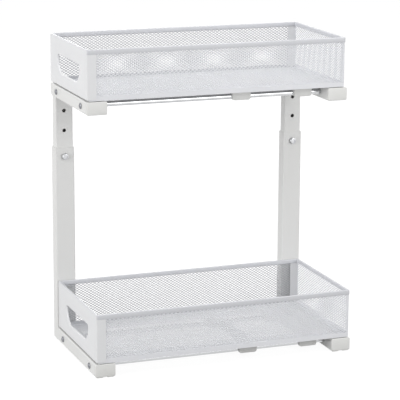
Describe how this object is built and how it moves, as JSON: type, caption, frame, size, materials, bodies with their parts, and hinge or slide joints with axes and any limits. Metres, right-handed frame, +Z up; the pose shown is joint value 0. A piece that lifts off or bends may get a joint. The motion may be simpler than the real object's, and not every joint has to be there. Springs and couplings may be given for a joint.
{
  "type": "under sink organizer",
  "caption": "Free-standing two-tier organizer: pull-out wire-mesh trays on round rails between steel end frames with telescoping posts at one side.",
  "frame": {"origin": "on the floor, under the middle of the lower tier's footprint", "axes": "+Z up, the trays pull out towards -Y, the posts stand on the -X side"},
  "size_m": [0.214, 0.4044, 0.4697],
  "materials": {
    "coated_tube": "white powder coat, satin",
    "coated_sheet": "white powder coat, satin",
    "coated_mesh": "white powder coat over expanded steel mesh",
    "cap_plastic": "moulded, warm white",
    "slider_plastic": "moulded, pale grey",
    "rail_steel": "polished bar",
    "zinc_steel": "zinc plated",
    "rubber": "soft, pale grey"
  },
  "bodies": {
    "lower_frame": {"lower_beam_front": "coated_tube", "lower_beam_rear": "coated_tube", "outer_post_front": "coated_tube", "outer_post_rear": "coated_tube", "lower_end_cap_front": "cap_plastic", "lower_end_cap_rear": "cap_plastic", "lower_rubber_feet": "rubber", "lower_rail_left": "rail_steel", "lower_rail_right": "rail_steel", "lower_rail_screws": "zinc_steel"},
    "upper_frame": {"inner_post_front": "coated_tube", "inner_post_rear": "coated_tube", "upper_beam_front": "coated_tube", "upper_beam_rear": "coated_tube", "upper_end_cap_front": "cap_plastic", "upper_end_cap_rear": "cap_plastic", "upper_back_plug_front": "cap_plastic", "upper_back_plug_rear": "cap_plastic", "upper_rail_left": "rail_steel", "upper_rail_right": "rail_steel", "upper_rail_screws": "zinc_steel"},
    "lower_tray": {"lower_tray_pull_panel": "coated_sheet", "lower_tray_mesh_right": "coated_mesh", "lower_tray_mesh_left": "coated_mesh", "lower_tray_mesh_rear": "coated_mesh", "lower_tray_mesh_floor": "coated_mesh", "lower_tray_rim": "coated_sheet", "lower_tray_strap_front": "coated_sheet", "lower_tray_slider_front_left": "slider_plastic", "lower_tray_slider_front_right": "slider_plastic", "lower_tray_strap_rear": "coated_sheet", "lower_tray_slider_rear_left": "slider_plastic", "lower_tray_slider_rear_right": "slider_plastic"},
    "upper_tray": {"upper_tray_pull_panel": "coated_sheet", "upper_tray_mesh_right": "coated_mesh", "upper_tray_mesh_left": "coated_mesh", "upper_tray_mesh_rear": "coated_mesh", "upper_tray_mesh_floor": "coated_mesh", "upper_tray_rim": "coated_sheet", "upper_tray_strap_front": "coated_sheet", "upper_tray_slider_front_left": "slider_plastic", "upper_tray_slider_front_right": "slider_plastic", "upper_tray_strap_rear": "coated_sheet", "upper_tray_slider_rear_left": "slider_plastic", "upper_tray_slider_rear_right": "slider_plastic"},
    "lock_screw_front": {"lock_screw_front": "zinc_steel"},
    "lock_screw_rear": {"lock_screw_rear": "zinc_steel"}
  },
  "joints": [
    {"name": "lower_tray_slide", "type": "slide", "parent": "lower_frame", "child": "lower_tray", "axis": [0, -1, 0], "range_m": [-0.014, 0.199]},
    {"name": "upper_tier_height", "type": "slide", "parent": "lower_frame", "child": "upper_frame", "axis": [0, 0, -1], "range_m": [0, 0.069]},
    {"name": "upper_tray_slide", "type": "slide", "parent": "upper_frame", "child": "upper_tray", "axis": [0, -1, 0], "range_m": [-0.015, 0.197]},
    {"name": "lock_screw_front_advance", "type": "slide", "parent": "lower_frame", "child": "lock_screw_front", "axis": [-1, 0, 0], "range_m": [0, 0.002]},
    {"name": "lock_screw_rear_advance", "type": "slide", "parent": "lower_frame", "child": "lock_screw_rear", "axis": [-1, 0, 0], "range_m": [0, 0.002]}
  ]
}
